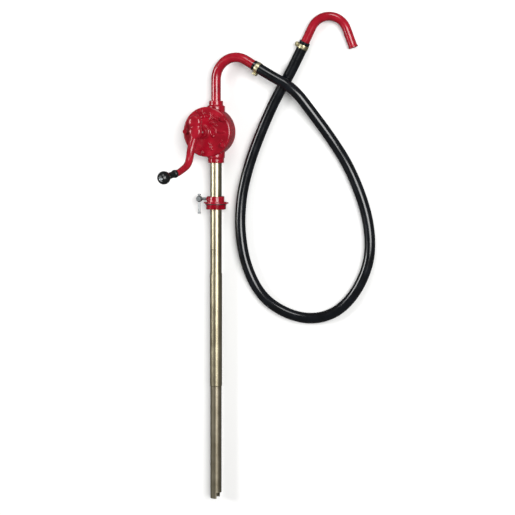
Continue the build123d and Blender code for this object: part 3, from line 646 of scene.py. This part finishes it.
def crank_spine():
    """The line through the tail, hub, knee and elbow to the knob's seat: straight runs
    with wide quadratic arcs at their corners, then respaced evenly."""
    corners = np.vstack([SPINE_CORNERS, ARM_END - 14 * HANDLE, ARM_END])
    line = rounded(corners, 22.0, 10)
    run = np.append(0, np.cumsum(np.linalg.norm(np.diff(line, axis=0), axis=1)))
    even = np.linspace(0, run[-1], 150)
    return np.stack([np.interp(even, run, line[:, i]) for i in range(3)], axis=-1)


def crank_sections(spine):
    """Half width and half depth at each point of the spine, and how square the section
    is. The width blends the tail's and the hub's circles, the web between them and the
    tapering arm by the eighth root of the sum of their eighth powers."""
    y = spine[:, 1]
    circle = lambda middle: np.sqrt(np.clip(HUB_RADIUS**2 - (y - middle) ** 2, 0, None))
    far = np.clip(np.linspace(-0.6, 1, len(y)), 0, 1)
    taper = ARM_ROOT + (ARM_TIP - ARM_ROOT) * far
    arm = np.where(y < 20, taper, 0)
    web = WEB_HALF_WIDTH * raised(np.abs(y - 16) - 14, 14)
    width = (circle(TAIL_MIDDLE) ** 8 + circle(0) ** 8 + arm**8 + web**8) ** 0.125
    swell = np.clip((width - taper) / (HUB_RADIUS - taper), 0, 1)
    depth = taper + 1.5 * swell - 1.4 * raised(np.abs(y - 15) - 1, 9)
    closing = np.clip((TAIL_END - y) / 7.0, 0, 1)
    depth = depth * np.sqrt(1 - (1 - closing) ** 2)
    square = 2.0 + 1.3 * swell
    return width, depth, square


spine = crank_spine()
spine = spine[spine[:, 1] < TAIL_END + 0.1]
width, depth, square = crank_sections(spine)
tangent = np.gradient(spine, axis=0)
tangent = tangent / np.linalg.norm(tangent, axis=1, keepdims=True)
side = np.cross(tangent, (0, 0, 1))
side = side / np.linalg.norm(side, axis=1, keepdims=True)
over = np.cross(side, tangent)
angle = np.linspace(0, 2 * np.pi, 72, endpoint=False)
power = (2 / square)[:, None]
bent = lambda x: np.sign(x) * np.abs(x) ** power
wide, deep = bent(np.cos(angle)) * width[:, None], bent(np.sin(angle)) * depth[:, None]
lever = spine[:, None] + wide[..., None] * side[:, None] + deep[..., None] * over[:, None]
ends = spine[[0, -1], None] + 0 * lever[:1]
lever = np.concatenate([ends[:1], lever, ends[1:]])
boss = rounded([(0, -15), (8.8, -15), (9.8, -11), (9.8, 0), (0, 0)], 1.2)
piece(
    "cast_crank_lever",
    [lever, turned(boss, ARM_END, HANDLE, 72)],
    cast_enamel,
    "red_enamel",
    "crank",
    "crank_arm",
)
wear(bright_zinc, "crank_pin", "knob_spindle", "knob_washer")


# ---- Knob --------------------------------------------------------------------------
# A ball knob moulded in black phenolic, with a waisted neck and a flat end that is
# recessed for the screw that it turns on.
KNOB_BORE = 5.1
KNOB_FOOT = 11.6
KNOB_NECK = 9.2
KNOB_BALL = 19.0
BALL_MIDDLE = 52.5
RECESS_RADIUS = 9.5
RECESS_FLOOR = 61.5
KNOB_FACE = 68.5

# Phenolic from a compression mould: near black with a thin skin of polish, whose gloss
# varies over the 6 mm streaks in which the powder flowed.
phenolic, tree, shader = finish_for(
    "phenolic, compression moulded, black", IOR=1.5, Coat_Weight=0.1, Coat_Roughness=0.15
)
flow = noise(tree, object_place(tree), 160.0, 3.0)
drive(
    tree,
    shader,
    Base_Color=tint(tree, flow, (0.35, "#070909"), (0.7, "#111414")),
    Roughness=spread(tree, flow, 0.22, 0.36),
)
a = np.radians(np.linspace(-60, 58, 30))
ball = np.stack([KNOB_BALL * np.cos(a), BALL_MIDDLE + KNOB_BALL * np.sin(a)], axis=-1)
foot = [(KNOB_BORE, 0.5), (KNOB_FOOT, 0.5), (KNOB_FOOT, 8.5), (9.4, 11), (KNOB_NECK, 32)]
foot = rounded([*foot, ball[0]], 2.0)
recess = [ball[-1], (RECESS_RADIUS, KNOB_FACE), (RECESS_RADIUS, RECESS_FLOOR)]
recess = rounded([*recess, (KNOB_BORE, RECESS_FLOOR)], 0.8)
knob_outline = np.vstack([foot, ball[1:-1], recess, [(KNOB_BORE, 40), (KNOB_BORE, 0.5)]])
piece(
    "moulded_knob",
    [turned(knob_outline, ARM_END, HANDLE, 96)],
    phenolic,
    "black_phenolic",
    "knob",
    "crank_knob",
    crease=0.8,
)


# ---- Spout and nozzle pipes --------------------------------------------------------
# Bent steel pipe, enamelled red. Each ends in a spigot for the hose, and the nozzle's
# mouth is flared a little.
wear(pipe_enamel, "spout_pipe", "nozzle_pipe")


# ---- Suction tube ------------------------------------------------------------------
# Three lengths of welded steel tube, yellow-zinc plated: the sleeve slides over the
# other two, and its ends are rolled in.
LENGTHWISE = (1, 0.03, 1)
tube_plate = passivated(
    "zinc plate, yellow passivated, tube", "#bdb498", "#a39a80", LENGTHWISE, 0.3, 0.36
)
foot_plate = passivated(
    "zinc plate, yellow passivated, worn", "#b3aa94", "#a09780", LENGTHWISE, 0.32, 0.38
)
wear(tube_plate, "upper_tube", "middle_tube")
wear(foot_plate, "lower_tube")


# ---- Bung adaptor ------------------------------------------------------------------
# Cast iron, enamelled red, with a 2 inch drum thread: a collar, a flange with two lugs
# to tighten it by, and the thread below its gasket.
TUBE_BORE = 17.2
COLLAR_RADIUS = 24.5
COLLAR_TOP = -190.0
FLANGE_RADIUS = 33.0
FLANGE_TOP = -207.0
FLANGE_BOTTOM = -211.5
RELIEF_RADIUS = 28.5
THREAD_RADIUS = 29.8
THREAD_DEPTH = 1.1
THREAD_START = -214.4
THREAD_PITCH = 2.309
THREAD_END = -228.0
SCREW_Y = -198.5

half_turns = np.arange(12)
crest = THREAD_RADIUS - THREAD_DEPTH * (1 - half_turns % 2)
thread = np.stack([crest, THREAD_START - 0.5 * THREAD_PITCH * half_turns], axis=-1)
collar = [(TUBE_BORE, -200), (TUBE_BORE, COLLAR_TOP), (20.5, COLLAR_TOP)]
collar += [(COLLAR_RADIUS, COLLAR_TOP), (COLLAR_RADIUS, FLANGE_TOP)]
collar += [(FLANGE_RADIUS, FLANGE_TOP), (FLANGE_RADIUS, FLANGE_BOTTOM)]
collar += [(RELIEF_RADIUS, FLANGE_BOTTOM), (RELIEF_RADIUS, -214), (RELIEF_RADIUS, -214.2)]
bottom = [(28.6, THREAD_END), (TUBE_BORE, THREAD_END), (TUBE_BORE, -200)]
adaptor = np.vstack([rounded(collar, 1.2), thread, bottom])
lugs = [
    pillow((13.0, 4.5, 12.0), 0.3) + (PORT[0] + way * 31.0, -209.25, PORT[1]) for way in (-1, 1)
]
screw_boss = rounded([(0, 0), (8.5, 0), (8.5, 9.5), (4.1, 9.5), (4.1, 5), (0, 5)], 1.0)
piece(
    "cast_bung_adaptor",
    [
        turned(adaptor, (PORT[0], 0, PORT[1]), (0, 1, 0), 144),
        *lugs,
        turned(screw_boss, (PORT[0] - 18.0, SCREW_Y, PORT[1]), (-1, 0, 0), 48),
    ],
    cast_enamel,
    "red_enamel",
    "bung_adaptor",
    "bung_adaptor",
)


# ---- Clamp screw and cross bar -----------------------------------------------------
# A screw with a ball-sided head, drilled for a sliding bar with upset ends, all zinc
# plated and dulled. It presses a small pad on the tube to hold the adaptor in place.
SCREW_HEAD_X = -33.0
BAR_LOW = -242.5
BAR_HIGH = -183.5
BAR_RADIUS = 3.1
BAR_END_RADIUS = 4.6

wear(dull_zinc, "clamp_screw", "clamp_pad")
bar = [(0, BAR_LOW), (BAR_END_RADIUS, BAR_LOW), (BAR_END_RADIUS, BAR_LOW + 4)]
bar += [(BAR_RADIUS, BAR_LOW + 5), (BAR_RADIUS, BAR_HIGH - 5)]
bar += [(BAR_END_RADIUS, BAR_HIGH - 4), (BAR_END_RADIUS, BAR_HIGH), (0, BAR_HIGH)]
piece(
    "sliding_cross_bar",
    [turned(rounded(bar, 1.0, 6), (SCREW_HEAD_X, 0, PORT[1]), (0, 1, 0), 40)],
    dull_zinc,
    "bright_zinc",
    "cross_bar",
    "cross_bar",
)


# ---- Hidden working parts ----------------------------------------------------------
# Inside the casing and the adaptor: ground steel shaft, key, vanes and springs, an iron
# rotor, bronze bushes, graphited packing, gaskets and a rubber seal.
ground_steel = plain_metal("steel, ground", "#b4b6b8", "#8d9093", 0.004, 0.22, 0.38)
machined_iron = plain_metal("cast iron, machined", "#77787a", "#4f5052", 0.003, 0.4, 0.6)
bronze = plain_metal("bronze, turned", "#c99b57", "#9a7038", 0.005, 0.25, 0.42)
wear(ground_steel, "rotor_shaft", "rotor_key", "vane_springs")
wear(ground_steel, "vane_1", "vane_2", "vane_3", "vane_4")
wear(machined_iron, "rotor")
wear(bronze, "rear_bush", "front_bush")


# Board, braid and rubber: dull, with flecks of fibre or filler that colour and roughen it.
def soft_seal(name, light, dark, grain, roughness):
    """A dull seal material with fibres or filler in grains of the given size."""
    finish, tree, shader = finish_for(name, Roughness=roughness)
    fleck = noise(tree, object_place(tree), 1 / grain, 3.0)
    drive(
        tree,
        shader,
        Base_Color=tint(tree, fleck, (0.35, dark), (0.68, light)),
        Normal=bumps(tree, fleck, 0.2, 0.0002),
    )
    return finish


packing = soft_seal("packing, graphited braid", "#3b3b3d", "#1d1d1f", 0.002, 0.7)
board = soft_seal("gasket board, oiled", "#5b5142", "#3a332a", 0.001, 0.8)
seal_rubber = soft_seal("nitrile rubber, moulded", "#1f2123", "#121314", 0.0015, 0.55)
wear(packing, "shaft_packing")
wear(board, "cover_gasket")
wear(seal_rubber, "adaptor_seal", "bung_gasket")
